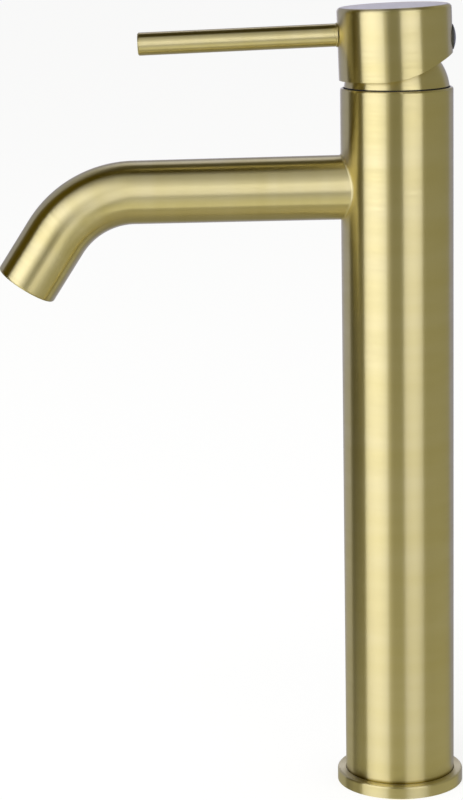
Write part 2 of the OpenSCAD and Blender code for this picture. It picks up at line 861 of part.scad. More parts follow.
// Outline below the handle, in its X-Z plane: flat in front, an arc, then a slope
module cut_outline() {
    run = cut_r * tan(cut_angle / 2);
    left = cut_x - run;
    right = cut_x + run * cos(cut_angle);
    right_h = cut_h + run * sin(cut_angle);
    far_h = right_h + (big - right) * tan(cut_angle);
    translate([-big, -big]) square([left + big, cut_h + big]);
    difference() {
        translate([left, -big]) square([right - left, cut_h + cut_r + big]);
        translate([left, cut_h + cut_r]) circle(r = cut_r, $fn = cut_fn);
    }
    polygon([[right, -big], [big, -big], [big, far_h], [right, right_h]]);
}

module handle_outline() {
    difference() {
        square([handle_r, handle_top]);
        corner_off(handle_r, handle_top, handle_edge_r);
    }
}

module handle_shell() {
    socket_w = stem_w + 2 * socket_gap;
    socket_len = stem_len + socket_gap;
    color(gold) in_handle() difference() {
        rotate_extrude() handle_outline();
        rotate([90, 0, 0]) linear_extrude(2 * big, center = true) cut_outline();
        // hollow over the dome, less the core that grips the stem
        difference() {
            sphere(r = hollow_r);
            translate([-core_x, 0, core_z]) cylinder(h = big, r = core_r);
        }
        // square socket for the stem
        rotate([0, -stem_tilt, 0]) translate([0, 0, socket_len / 2])
            cube([socket_w, socket_w, socket_len], center = true);
        // screwed hole and flat seat for the lever
        translate([-handle_r - over, 0, lever_z]) rotate([0, 90, 0]) {
            cylinder(h = lever_neck_len + over + face_gap, d = lever_neck_d + 2 * fit_gap);
            cylinder(h = lever_seat + over, d = lever_d + 2 * flare_over + 2 * face_gap);
        }
        // clamp screw hole and the plug's seat
        translate([0, 0, plug_z]) rotate([0, 90, 0]) cylinder(h = big, d = grub_d + 2 * fit_gap);
        translate([handle_r - plug_depth, 0, plug_z]) rotate([0, 90, 0])
            cylinder(h = big, d = plug_d + 2 * fit_gap);
    }
}

// Half outline of the lever rod, from its screwed neck to its tip
module lever_outline() {
    r = lever_d / 2;
    root = handle_r - lever_seat + face_gap;
    polygon([
        [0, handle_r - lever_neck_len],
        [lever_neck_d / 2, handle_r - lever_neck_len],
        [lever_neck_d / 2, root],
        [r + flare_over, root],
        [r + flare_over, root + flare_len - flare_over],
        [r, root + flare_len],
        [r, lever_reach - lever_edge],
        [r - lever_edge, lever_reach],
        [0, lever_reach]
    ]);
}

module lever_rod() {
    color(gold) in_handle() translate([0, 0, lever_z]) rotate([0, -90, 0])
        rotate_extrude() lever_outline();
}

// The screw's tip just meets the rear face of the leaning stem
module clamp_screw() {
    tip = stem_w / 2 / cos(stem_tilt) - (plug_z - grub_d / 2) * tan(stem_tilt) + face_gap / 2;
    color(steel) in_handle() translate([tip, 0, plug_z]) rotate([0, 90, 0]) difference() {
        cylinder(h = grub_len, d = grub_d);
        translate([0, 0, grub_len - grub_key_depth])
            cylinder(h = grub_key_depth + over, d = grub_key / cos(30), $fn = 6);
    }
}

// Half outline of the plug, from its seat to its shallow domed end
module plug_outline() {
    r = plug_d / 2;
    edge = plug_depth + plug_edge;
    ball = (r * r + plug_rise * plug_rise) / (2 * plug_rise);
    square([r, edge]);
    intersection() {
        translate([0, edge + plug_rise - ball]) circle(r = ball, $fn = cut_fn);
        translate([0, edge - weld]) square([r, plug_rise + 2 * weld]);
    }
}

module rear_plug() {
    color(plastic_dark) in_handle() translate([handle_r - plug_depth, 0, plug_z])
        rotate([0, 90, 0]) rotate_extrude() plug_outline();
}

column_shell();
base_ring();
base_gasket();
foot_block();
hot_riser();
cold_riser();
riser_seals();
valve_body();
port_seals();
spout_tube();
outlet_washer();
outlet_sleeve();
flow_plate();
outlet_grille();
cartridge_base();
base_seals();
fixed_disc();
cartridge_housing();
retaining_nut();
dome_seal();
dome_cover();
rim_seal();
rotor();
pivot_pin();
moving_disc();
disc_carrier();
stem();
handle_shell();
lever_rod();
clamp_screw();
rear_plug();
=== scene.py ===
"""Looks of a tall single-lever basin mixer in brushed gold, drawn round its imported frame."""
import math

import bmesh
import bpy
from mathutils import Matrix, Vector


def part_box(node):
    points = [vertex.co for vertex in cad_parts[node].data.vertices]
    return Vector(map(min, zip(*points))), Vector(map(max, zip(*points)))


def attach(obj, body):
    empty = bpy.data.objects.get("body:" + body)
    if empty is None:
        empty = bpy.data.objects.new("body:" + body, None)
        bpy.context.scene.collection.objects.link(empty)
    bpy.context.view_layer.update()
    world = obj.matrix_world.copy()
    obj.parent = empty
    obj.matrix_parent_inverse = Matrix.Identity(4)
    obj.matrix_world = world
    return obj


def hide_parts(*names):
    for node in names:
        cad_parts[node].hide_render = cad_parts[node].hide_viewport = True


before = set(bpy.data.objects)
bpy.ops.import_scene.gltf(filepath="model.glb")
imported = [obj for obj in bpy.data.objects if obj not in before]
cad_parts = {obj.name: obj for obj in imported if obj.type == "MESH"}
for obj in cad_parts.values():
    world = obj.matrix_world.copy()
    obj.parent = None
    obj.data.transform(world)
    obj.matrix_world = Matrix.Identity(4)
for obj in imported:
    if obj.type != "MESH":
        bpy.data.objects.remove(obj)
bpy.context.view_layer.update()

MM = 0.001  # metres

# ---------------------------------------------------------------- driving dimensions, in metres

PIVOT = Vector((0, 0, 267.8)) * MM  # where the handle's tilt axis crosses the column axis
HANDLE_TILT = math.radians(1.6)  # how far the closed handle leans towards the spout
LEVER_HEIGHT = 22.05 * MM  # lever axis above the pivot, along the handle's own axis

SPOUT_HEIGHT = 233 * MM
SPOUT_SLOPE = math.radians(0.4)  # how far the spout falls towards the bend
SPOUT_ROOT_RADIUS = 12.05 * MM
SPOUT_RADIUS = 11.85 * MM  # at the bend, to which the tube is drawn down a little
OUTLET_RADIUS = 11.93 * MM  # at the mouth, where the tube is a little wider again
SPOUT_BORE_RADIUS = 10.35 * MM
SPOUT_RUN = 98.2 * MM  # from the column axis to the bend
BEND_RADIUS = 35.8 * MM
BEND_ANGLE = math.radians(56.4)
OUTLET_LENGTH = 21.8 * MM
MOUTH_SEAT_RADIUS = 10.75 * MM
MOUTH_SEAT_DEPTH = 10 * MM
MOUTH_EDGE_RADIUS = 1.0 * MM
MOUTH_INNER_CHAMFER = 0.15 * MM
COLUMN_RADIUS = 21 * MM
COLUMN_BORE_RADIUS = 19 * MM
BRAZE_RADIUS = 0.5 * MM  # round corner where the spout meets the column

BASE_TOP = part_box("base_ring")[1][2]
ORIGIN = Vector((0, 0, 0))
UP = Vector((0, 0, 1))
HANDLE_AXIS = Vector((-math.sin(HANDLE_TILT), 0, math.cos(HANDLE_TILT)))
LEVER_AXIS = Vector((-math.cos(HANDLE_TILT), 0, -math.sin(HANDLE_TILT)))
LEVER_ROOT = PIVOT + HANDLE_AXIS * LEVER_HEIGHT
SIDEWAYS = Vector((0, 1, 0))  # level and square to the spout

# ---------------------------------------------------------------- nodes and colours


def add_node(tree, kind, settings=None, inputs=None):
    """Adds a node. settings are its properties. inputs are its sockets, by name or number, each with a value
    or with a socket to link."""
    node = tree.nodes.new(kind)
    for key, value in (settings or {}).items():
        setattr(node, key, value)
    for key, value in (inputs or {}).items():
        if isinstance(value, bpy.types.NodeSocket):
            tree.links.new(value, node.inputs[key])
        else:
            node.inputs[key].default_value = value
    return node


def linear(colour):
    """An sRGB hex colour as linear RGBA."""
    parts = [int(colour[i:i + 2], 16) / 255 for i in (1, 3, 5)]
    return [c / 12.92 if c <= 0.04045 else ((c + 0.055) / 1.055) ** 2.4 for c in parts] + [1.0]


def new_material(name):
    """An empty node material and its tree."""
    material = bpy.data.materials.new(name)
    material.use_nodes = True
    material.node_tree.nodes.clear()
    return material, material.node_tree


# ---------------------------------------------------------------- camera

CAMERA_PLACE = Vector((-55.61, -937.7, 354.07)) * MM
CAMERA_PITCH = math.radians(12.14)  # downwards
CAMERA_YAW = math.radians(-0.47)  # to the left of +Y
CAMERA_ROLL = math.radians(-1.09)
CAMERA_LENS = 113.58  # mm
CAMERA_SENSOR = 36  # mm
CAMERA_NEAR = 10 * MM


def make_camera():
    """The long lens, a little above the handle and square to the spout."""
    ahead = Vector((math.sin(CAMERA_YAW) * math.cos(CAMERA_PITCH),
                    math.cos(CAMERA_YAW) * math.cos(CAMERA_PITCH),
                    -math.sin(CAMERA_PITCH)))
    right = Vector((math.cos(CAMERA_YAW), -math.sin(CAMERA_YAW), 0))
    level = Matrix((right, right.cross(ahead), -ahead)).transposed()
    turned = level @ Matrix.Rotation(CAMERA_ROLL, 3, "Z")
    lens = bpy.data.cameras.new("camera")
    lens.lens = CAMERA_LENS
    lens.sensor_width = CAMERA_SENSOR
    lens.clip_start = CAMERA_NEAR
    camera = bpy.data.objects.new("camera", lens)
    camera.matrix_world = Matrix.Translation(CAMERA_PLACE) @ turned.to_4x4()
    bpy.context.scene.collection.objects.link(camera)
    bpy.context.scene.camera = camera


# ---------------------------------------------------------------- studio cards

# The cards stand round the object and show only as reflections in it. Each is given by the directions that
# it fills, seen from the cards' centre, in degrees: azimuth 0 is in front and 90 on the right, and
# elevation 90 is overhead.
CARD_CENTRE = Vector((-23, 0, 150)) * MM
CARD_DISTANCE = 1.0  # metres
CEILING_DISTANCE = 1.05 * CARD_DISTANCE  # outside the cards, so that it doesn't cut into their tops
CARD_STEPS = 24  # facets along each side of a card
FLAG_BROWN = "#54480C"
OLIVE_GREY = "#A5A28E"
LAVENDER_GREY = "#B5B6D2"
FLOOR_GREY = "#AFA992"
SOFTBOX_WHITE = "#F1F1FF"
WARM_WHITE = "#FFFDF2"

# Levels are (elevation, colour, brightness). These are the tops that the cards share.
DARK_TOP = ((74, FLAG_BROWN, 0.15),)
CLOTH_TOP = ((60, FLAG_BROWN, 0.6), *DARK_TOP)
SOFTBOX_TOP = ((66, SOFTBOX_WHITE, 0.6), *DARK_TOP)


def card_mesh(name, azimuth, levels, distance):
    """A card bent round the centre, from the elevation of its first level to that of its last."""
    foot, top = levels[0][0], levels[-1][0]
    shape = bmesh.new()
    rows = []
    for i in range(CARD_STEPS + 1):
        high = math.radians(foot + (top - foot) * i / CARD_STEPS)
        row = []
        for j in range(CARD_STEPS + 1):
            turn = math.radians(azimuth[0] + (azimuth[1] - azimuth[0]) * j / CARD_STEPS)
            flat = math.cos(high)
            away = Vector((math.sin(turn) * flat, -math.cos(turn) * flat, math.sin(high)))
            row.append(shape.verts.new(away * distance))
        rows.append(row)
    for low, high in zip(rows, rows[1:]):
        for a, b, c, d in zip(low, low[1:], high[1:], high):
            shape.faces.new((a, b, c, d))
    mesh = bpy.data.meshes.new(name)
    shape.to_mesh(mesh)
    shape.free()
    return mesh


def card_glow(name, azimuth, levels, distance, fade):
    """The card's light. Its colour and brightness go from level to level, and it loses the fade share of its
    brightness between its middle and its sides."""
    material, tree = new_material(name)
    place = add_node(tree, "ShaderNodeTexCoord").outputs["Object"]
    split = add_node(tree, "ShaderNodeSeparateXYZ", inputs={0: place})
    height = add_node(tree, "ShaderNodeMapRange",
                      inputs={"Value": split.outputs["Z"], "From Min": -distance, "From Max": distance})
    ramp = add_node(tree, "ShaderNodeValToRGB", inputs={0: height.outputs[0]})
    stops = ramp.color_ramp.elements
    while len(stops) < len(levels):
        stops.new(0.5)
    brightest = max(level for _, _, level in levels)
    for stop, (elevation, colour, level) in zip(stops, levels):
        stop.position = (math.sin(math.radians(elevation)) + 1) / 2
        stop.color = [level / brightest * c for c in linear(colour)[:3]] + [1.0]
    middle = math.radians(sum(azimuth) / 2)
    reach = math.cos(math.radians(azimuth[1] - azimuth[0]) / 2)
    flat = add_node(tree, "ShaderNodeCombineXYZ", inputs={"X": split.outputs["X"], "Y": split.outputs["Y"]})
    flat_way = add_node(tree, "ShaderNodeVectorMath", {"operation": "NORMALIZE"}, {0: flat.outputs[0]})
    facing = add_node(tree, "ShaderNodeVectorMath", {"operation": "DOT_PRODUCT"},
                      {0: flat_way.outputs[0], 1: (math.sin(middle), -math.cos(middle), 0)})
    strength = add_node(tree, "ShaderNodeMapRange",
                        inputs={"Value": facing.outputs["Value"], "From Min": reach, "From Max": 1.0,
                                "To Min": brightest * (1 - fade), "To Max": brightest})
    glow = add_node(tree, "ShaderNodeEmission",
                    inputs={"Color": ramp.outputs[0], "Strength": strength.outputs[0]})
    add_node(tree, "ShaderNodeOutputMaterial", inputs={"Surface": glow.outputs[0]})
    return material


def studio_card(name, azimuth, levels, distance=CARD_DISTANCE, fade=0.0):
    """A glowing card that shows only in reflections. levels go from its foot to its top."""
    mesh = card_mesh(name, azimuth, levels, distance)
    mesh.materials.append(card_glow(name, azimuth, levels, distance, fade))
    card = bpy.data.objects.new(name, mesh)
    card.location = CARD_CENTRE
    bpy.context.scene.collection.objects.link(card)
    card.visible_camera = False
    card.visible_diffuse = False
    card.visible_transmission = False
    card.visible_shadow = False


def make_front_cards():
    """Two tall softboxes with a dark gap between them, a dark flag on the left, and a grey panel on the
    right."""
    studio_card("card_left_flag", (-118, -75),
                ((-50, OLIVE_GREY, 3.2), (-38, OLIVE_GREY, 1.9), (-25, OLIVE_GREY, 0.4),
                 (-9, FLAG_BROWN, 0.2), (3, FLAG_BROWN, 0.15), (18, FLAG_BROWN, 1.1),
                 (60, FLAG_BROWN, 1.1), *DARK_TOP))
    studio_card("card_left_softbox", (-75, -23.5),
                ((-50, WARM_WHITE, 0.7), (-30, WARM_WHITE, 0.85), (-16, SOFTBOX_WHITE, 1.6),
                 (1, SOFTBOX_WHITE, 2.08), (31, SOFTBOX_WHITE, 2.08), (45, SOFTBOX_WHITE, 0.95),
                 (59, SOFTBOX_WHITE, 0.55), *SOFTBOX_TOP), fade=0.28)
    studio_card("card_left_softbox_edge", (-23.5, -17),
                ((-50, OLIVE_GREY, 1.6), (-25, OLIVE_GREY, 1.6), (-4, OLIVE_GREY, 1.2),
                 (17, OLIVE_GREY, 1.2), (31, SOFTBOX_WHITE, 1.1), (45, SOFTBOX_WHITE, 0.8),
                 (59, SOFTBOX_WHITE, 0.55), *SOFTBOX_TOP))
    studio_card("card_middle_flag", (-17, 10),
                ((-50, OLIVE_GREY, 2.6), (-33, OLIVE_GREY, 2.2), (-16, OLIVE_GREY, 0.9),
                 (-4, FLAG_BROWN, 0.15), (13, FLAG_BROWN, 0.1), (29, OLIVE_GREY, 0.7),
                 (66, OLIVE_GREY, 1.1), *DARK_TOP))
    studio_card("card_right_softbox", (10, 50),
                ((-50, WARM_WHITE, 1.0), (-33, WARM_WHITE, 0.6), (-8, WARM_WHITE, 0.2),
                 (3, SOFTBOX_WHITE, 2.5), (23, SOFTBOX_WHITE, 2.5), (33, SOFTBOX_WHITE, 0.8),
                 (51, SOFTBOX_WHITE, 0.5), *SOFTBOX_TOP), fade=0.25)
    studio_card("card_right_panel", (50, 128),
                ((-50, OLIVE_GREY, 1.5), (-35, OLIVE_GREY, 1.3), (3, OLIVE_GREY, 0.7),
                 (48, OLIVE_GREY, 0.7), (64, FLAG_BROWN, 0.8), *DARK_TOP))


def make_rear_cards():
    """A grey backdrop in three parts. Its middle is brighter where the flat top of the handle mirrors it."""
    studio_card("card_right_backdrop", (128, 162),
                ((-50, OLIVE_GREY, 0.6), (-22, LAVENDER_GREY, 0.75), (3, LAVENDER_GREY, 0.7),
                 (49, OLIVE_GREY, 0.9), *CLOTH_TOP))
    studio_card("card_backdrop", (162, 198),
                ((-50, OLIVE_GREY, 0.6), (-22, LAVENDER_GREY, 0.9), (-1, LAVENDER_GREY, 1.0),
                 (3, LAVENDER_GREY, 1.6), (12, LAVENDER_GREY, 1.6), (18, LAVENDER_GREY, 0.7),
                 (35, LAVENDER_GREY, 0.6), (43, LAVENDER_GREY, 1.6), (57, LAVENDER_GREY, 1.6),
                 (62, FLAG_BROWN, 0.6), *DARK_TOP))
    studio_card("card_left_backdrop", (198, 242),
                ((-50, OLIVE_GREY, 0.9), (-22, OLIVE_GREY, 1.2), (-7, LAVENDER_GREY, 0.95),
                 (3, LAVENDER_GREY, 0.7), (33, LAVENDER_GREY, 0.75), (49, OLIVE_GREY, 0.6), *CLOTH_TOP))


def make_floor_and_ceiling_cards():
    """Dark cloth overhead, and the floor as reflections show it, brighter in front of the object."""
    studio_card("card_ceiling", (0, 360),
                ((70, FLAG_BROWN, 0.25), (90, FLAG_BROWN, 0.2)), CEILING_DISTANCE)
    studio_card("card_front_floor", (-90, 90),
                ((-90, FLOOR_GREY, 0.8), (-70, FLOOR_GREY, 1.0), (-50, FLOOR_GREY, 0.8)))
    studio_card("card_rear_floor", (90, 270),
                ((-90, FLOOR_GREY, 0.8), (-70, FLOOR_GREY, 0.7), (-50, FLOOR_GREY, 0.6)))


# ---------------------------------------------------------------- room, floor and lamp

WHITE = "#FFFFFF"
ROOM_LEVEL = 0.75  # brightness at which the white room lights matt surfaces
FLOOR_WHITE = "#F2F2F0"
FLOOR_LIFT = 0.7  # share of plain white in the floor as the camera sees it
FLOOR_GLOW = 1.06  # brightness of that white
FLOOR_RADIUS = 12  # metres
FLOOR_SEGMENTS = 96
KEY_PLACE = Vector((-0.9, -1.1, 1.9))
KEY_AIM = Vector((0, 0, 0.15))
KEY_SIZE = 1.2  # metres
KEY_WATTS = 22


def make_world():
    """A white room. The camera, reflections and glass see it at full white, and it lights matt surfaces
    more softly."""
    world = bpy.data.worlds.new("white_room")
    bpy.context.scene.world = world
    world.use_nodes = True
    tree = world.node_tree
    tree.nodes.clear()
    path = add_node(tree, "ShaderNodeLightPath")
    seen = path.outputs["Is Camera Ray"]
    for ray in ("Is Glossy Ray", "Is Transmission Ray"):
        either = add_node(tree, "ShaderNodeMath", {"operation": "MAXIMUM"}, {0: seen, 1: path.outputs[ray]})
        seen = either.outputs[0]
    level = add_node(tree, "ShaderNodeMapRange", inputs={"Value": seen, "To Min": ROOM_LEVEL, "To Max": 1.0})
    room = add_node(tree, "ShaderNodeBackground",
                    inputs={"Color": linear(WHITE), "Strength": level.outputs[0]})
    add_node(tree, "ShaderNodeOutputWorld", inputs={"Surface": room.outputs[0]})


def make_floor():
    """A wide pale floor that keeps a soft shadow. Reflections show the floor cards instead."""
    shape = bmesh.new()
    bmesh.ops.create_circle(shape, cap_ends=True, segments=FLOOR_SEGMENTS, radius=FLOOR_RADIUS)
    mesh = bpy.data.meshes.new("floor")
    shape.to_mesh(mesh)
    shape.free()
    material, tree = new_material("pale_floor")
    matt = add_node(tree, "ShaderNodeBsdfDiffuse", inputs={"Color": linear(FLOOR_WHITE)})
    white = add_node(tree, "ShaderNodeEmission", inputs={"Color": linear(WHITE), "Strength": FLOOR_GLOW})
    path = add_node(tree, "ShaderNodeLightPath")
    share = add_node(tree, "ShaderNodeMath", {"operation": "MULTIPLY"},
                     {0: path.outputs["Is Camera Ray"], 1: FLOOR_LIFT})
    mixed = add_node(tree, "ShaderNodeMixShader",
                     inputs={0: share.outputs[0], 1: matt.outputs[0], 2: white.outputs[0]})
    add_node(tree, "ShaderNodeOutputMaterial", inputs={"Surface": mixed.outputs[0]})
    mesh.materials.append(material)
    floor = bpy.data.objects.new("floor", mesh)
    bpy.context.scene.collection.objects.link(floor)
    floor.visible_glossy = False


def make_key_light():
    """One large soft lamp above and to the left, for the shadow and the shape of what isn't metal."""
    lamp = bpy.data.lights.new("key_light", "AREA")
    lamp.size = KEY_SIZE
    lamp.energy = KEY_WATTS
    key = bpy.data.objects.new("key_light", lamp)
    key.location = KEY_PLACE
    key.rotation_euler = (KEY_AIM - KEY_PLACE).to_track_quat("-Z", "Y").to_euler()
    bpy.context.scene.collection.objects.link(key)
    key.visible_glossy = False


# ---------------------------------------------------------------- patterns

BRUSH_LINE = 0.6 * MM  # spacing of the brush marks, coarser than the real 0.1 mm so that they show
BRUSH_LENGTH = 14 * MM
END_FACING = 0.97  # how squarely a face must meet the axis to count as the flat end
TONE_LINE = 9 * MM  # slow drift of the coat's tone along the work
TONE_LENGTH = 4 * BRUSH_LENGTH
CORNER_SHADE_REACH = 1.6 * MM  # how far the painted shade reaches out of a corner
TOOL_LINE = 0.3 * MM  # spacing of the turning tool's rings
TOOL_LENGTH = 60 * MM
DRAW_LINE = 0.4 * MM  # spacing of the die's lines on drawn tube
DRAW_LENGTH = 40 * MM
RUBBER_GRAIN = 0.25 * MM
PLASTIC_GRAIN = 0.3 * MM
CERAMIC_GRAIN = 0.15 * MM
HANDLING_PATCH = 12 * MM  # size of the duller patches that handling and water leave
NOISE_RANGE = (0.3, 0.7)  # where noise mostly lies
MARK_BREAKUP = 0.6  # how much of the finest noise the marks hold
GRAIN_BREAKUP = 0.55
QUARTER_TURN = 0.25  # lays the smear of the highlights across the brush marks
WORLD_WAY = {"vector_type": "VECTOR", "convert_from": "OBJECT", "convert_to": "WORLD"}
BRUSH_MAP = "brush"


def round_work(tree, centre, axis):
    """For a surface of revolution: the place from the centre, the distance along the axis, and the direction
    round it, which is the way of the brush."""
    place = add_node(tree, "ShaderNodeTexCoord").outputs["Object"]
    from_centre = add_node(tree, "ShaderNodeVectorMath", {"operation": "SUBTRACT"}, {0: place, 1: centre})
    along = add_node(tree, "ShaderNodeVectorMath", {"operation": "DOT_PRODUCT"},
                     {0: from_centre.outputs[0], 1: axis})
    around = add_node(tree, "ShaderNodeVectorMath", {"operation": "CROSS_PRODUCT"},
                      {0: axis, 1: from_centre.outputs[0]})
    brush_way = add_node(tree, "ShaderNodeVectorTransform", WORLD_WAY, {0: around.outputs[0]})
    return from_centre.outputs[0], along.outputs["Value"], brush_way.outputs[0]


def bent_work(tree, radius):
    """The same for a bent tube, from its brush map: U runs once round the tube and V along it in metres. The
    place is that on the tube if it were straight."""
    spot = add_node(tree, "ShaderNodeUVMap", {"uv_map": BRUSH_MAP}).outputs[0]
    split = add_node(tree, "ShaderNodeSeparateXYZ", inputs={0: spot})
    turn = add_node(tree, "ShaderNodeMath", {"operation": "MULTIPLY"},
                    {0: split.outputs["X"], 1: 2 * math.pi})
    ring = []
    for wave in ("COSINE", "SINE"):
        way = add_node(tree, "ShaderNodeMath", {"operation": wave}, {0: turn.outputs[0]})
        side = add_node(tree, "ShaderNodeMath", {"operation": "MULTIPLY"}, {0: way.outputs[0], 1: radius})
        ring.append(side.outputs[0])
    straight = add_node(tree, "ShaderNodeCombineXYZ",
                        inputs={"X": ring[0], "Y": ring[1], "Z": split.outputs["Y"]})
    brush_way = add_node(tree, "ShaderNodeTangent", {"direction_type": "UV_MAP", "uv_map": BRUSH_MAP})
    return straight.outputs[0], split.outputs["Y"], brush_way.outputs[0]


def marks_along(tree, from_centre, along, axis, spacing, length, detail=3.0):
    """Noise that changes every spacing along the axis and runs on for length round it."""
    whole = add_node(tree, "ShaderNodeVectorMath", {"operation": "SCALE"},
                     {0: from_centre, "Scale": 1 / length})
    extra = add_node(tree, "ShaderNodeMath", {"operation": "MULTIPLY"}, {0: along, 1: 1 / spacing})
    push = add_node(tree, "ShaderNodeVectorMath", {"operation": "SCALE"},
                    {0: axis, "Scale": extra.outputs[0]})
    spot = add_node(tree, "ShaderNodeVectorMath", {"operation": "ADD"},
                    {0: whole.outputs[0], 1: push.outputs[0]})
    marks = add_node(tree, "ShaderNodeTexNoise", {"noise_dimensions": "3D"},
                     {"Vector": spot.outputs[0], "Scale": 1.0, "Detail": detail, "Roughness": MARK_BREAKUP})
    return marks.outputs[0]


def marks_across_end(tree, from_centre, marks, brush_way, axis, across):
    """The marks and the way of the brush where the flat end of the work is brushed straight across."""
    shape = add_node(tree, "ShaderNodeTexCoord")
    facing = add_node(tree, "ShaderNodeVectorMath", {"operation": "DOT_PRODUCT"},
                      {0: shape.outputs["Normal"], 1: axis})
    end = add_node(tree, "ShaderNodeMath", {"operation": "GREATER_THAN"},
                   {0: facing.outputs["Value"], 1: END_FACING})
    beside = axis.cross(across)
    aside = add_node(tree, "ShaderNodeVectorMath", {"operation": "DOT_PRODUCT"}, {0: from_centre, 1: beside})
    straight = marks_along(tree, from_centre, aside.outputs["Value"], beside, BRUSH_LINE, BRUSH_LENGTH)
    straight_way = add_node(tree, "ShaderNodeVectorTransform", WORLD_WAY, {0: across})
    both_marks = add_node(tree, "ShaderNodeMix", {"data_type": "FLOAT"},
                          {0: end.outputs[0], 2: marks, 3: straight})
    both_ways = add_node(tree, "ShaderNodeMix", {"data_type": "VECTOR"},
                         {0: end.outputs[0], 4: brush_way, 5: straight_way.outputs[0]})
    return both_marks.outputs[0], both_ways.outputs[1]


def grain(tree, size, detail=2.0):
    """Even noise of one size in the object's own space."""
    place = add_node(tree, "ShaderNodeTexCoord").outputs["Object"]
    noise = add_node(tree, "ShaderNodeTexNoise", {"noise_dimensions": "3D"},
                     {"Vector": place, "Scale": 1 / size, "Detail": detail, "Roughness": GRAIN_BREAKUP})
    return noise.outputs[0]


# ---------------------------------------------------------------- materials

GOLD_WARM = "#E6D99A"
GOLD_PALE = "#EADEA6"
# Colour of the painted shade at the column's foot, where the base ring meets it.
CORNER_SHADE = "#8F7D2E"


def finish(tree, tone, colours, wear, roughness, relief, depth, strength=1.0, metal=None):
    """The end of every material. Over the range of noise, tone goes from one colour to the other and wear
    from one roughness to the other. relief raises the surface by up to depth. metal holds a metal's own
    sockets. Returns the shader and the colour that reaches it."""
    colour = add_node(tree, "ShaderNodeValToRGB", inputs={0: tone})
    for stop, position, shade in zip(colour.color_ramp.elements, NOISE_RANGE, colours):
        stop.position = position
        stop.color = linear(shade)
    rough = add_node(tree, "ShaderNodeMapRange",
                     inputs={"Value": wear, "From Min": NOISE_RANGE[0], "From Max": NOISE_RANGE[1],
                             "To Min": roughness[0], "To Max": roughness[1]})
    bump = add_node(tree, "ShaderNodeBump",
                    inputs={"Height": relief, "Strength": strength, "Distance": depth})
    shader = add_node(tree, "ShaderNodeBsdfPrincipled",
                      inputs={"Base Color": colour.outputs[0], "Roughness": rough.outputs[0],
                              "Normal": bump.outputs[0], **(metal or {})})
    add_node(tree, "ShaderNodeOutputMaterial", inputs={"Surface": shader.outputs[0]})
    return shader, colour.outputs[0]


def paint_corner_shade(tree, shader, colour, along, corner):
    """Painted shade: the colour darkens where another piece meets this one, at the distance corner along the
    axis, and goes back to the gold over the reach.
    """
    reach = add_node(tree, "ShaderNodeMapRange", {"interpolation_type": "SMOOTHSTEP"},
                     {"Value": along, "From Min": corner, "From Max": corner + CORNER_SHADE_REACH})
    corner_shaded = add_node(tree, "ShaderNodeMix", {"data_type": "RGBA"},
                     {0: reach.outputs[0], 6: linear(CORNER_SHADE), 7: colour})
    tree.links.new(corner_shaded.outputs[2], shader.inputs["Base Color"])


def brushed_gold(name, centre=None, axis=UP, across=None, corner=None):
    """Brass turned smooth, satin-brushed round its axis and PVD-coated gold: the fine rings smear reflections
    along the axis and leave them crisp round it. With no centre it follows the piece's brush map. across is
    the direction in which a flat end is brushed straight, where it isn't brushed in rings. corner is where
    along the axis another piece meets this one: there the colour is painted darker, as painted shade."""
    material, tree = new_material(name)
    work = bent_work(tree, SPOUT_RADIUS) if centre is None else round_work(tree, centre, axis)
    from_centre, along, brush_way = work
    marks = marks_along(tree, from_centre, along, axis, BRUSH_LINE, BRUSH_LENGTH)
    drift = marks_along(tree, from_centre, along, axis, TONE_LINE, TONE_LENGTH, detail=1.0)
    if across is not None:
        marks, brush_way = marks_across_end(tree, from_centre, marks, brush_way, axis, across)
    shader, colour = finish(tree, tone=drift, colours=(GOLD_WARM, GOLD_PALE),
                            wear=marks, roughness=(0.30, 0.37), relief=marks, depth=0.015 * MM, strength=0.3,
                            metal={"Metallic": 1.0, "Anisotropic": 1.0, "Anisotropic Rotation": QUARTER_TURN,
                                   "Tangent": brush_way})
    if corner is not None:
        paint_corner_shade(tree, shader, colour, along, corner)
    return material


def machined_brass():
    """Bare brass from the lathe: crisp tool rings, with duller, browner patches where water has stood."""
    material, tree = new_material("machined_brass")
    from_centre, along, tool_way = round_work(tree, ORIGIN, UP)
    rings = marks_along(tree, from_centre, along, UP, TOOL_LINE, TOOL_LENGTH)
    patches = grain(tree, HANDLING_PATCH, detail=4.0)
    finish(tree, tone=patches, colours=("#A8813C", "#D9B35E"), wear=patches, roughness=(0.42, 0.24),
           relief=rings, depth=0.02 * MM, strength=0.6,
           metal={"Metallic": 1.0, "Anisotropic": 0.7, "Anisotropic Rotation": QUARTER_TURN,
                  "Tangent": tool_way})
    return material


def drawn_copper():
    """Copper tube straight from the die: long faint draw lines and the uneven pink-brown of old copper."""
    material, tree = new_material("drawn_copper")
    place = add_node(tree, "ShaderNodeTexCoord").outputs["Object"]
    pulled = add_node(tree, "ShaderNodeMapping",
                      inputs={"Vector": place, "Scale": (1 / DRAW_LINE, 1 / DRAW_LINE, 1 / DRAW_LENGTH)})
    lines = add_node(tree, "ShaderNodeTexNoise",
                     inputs={"Vector": pulled.outputs[0], "Scale": 1.0, "Detail": 2.0})
    patches = grain(tree, HANDLING_PATCH, detail=4.0)
    finish(tree, tone=patches, colours=("#9A5A3A", "#D98E66"), wear=patches, roughness=(0.45, 0.25),
           relief=lines.outputs[0], depth=0.01 * MM, strength=0.6, metal={"Metallic": 1.0})
    return material


def turned_steel():
    """Turned stainless steel: cool grey with a faint tool pattern."""
    material, tree = new_material("turned_steel")
    marks = grain(tree, TOOL_LINE, detail=3.0)
    finish(tree, tone=marks, colours=("#9C9EA2", "#B9BBBE"), wear=marks, roughness=(0.25, 0.38),
           relief=marks, depth=0.005 * MM, metal={"Metallic": 1.0})
    return material


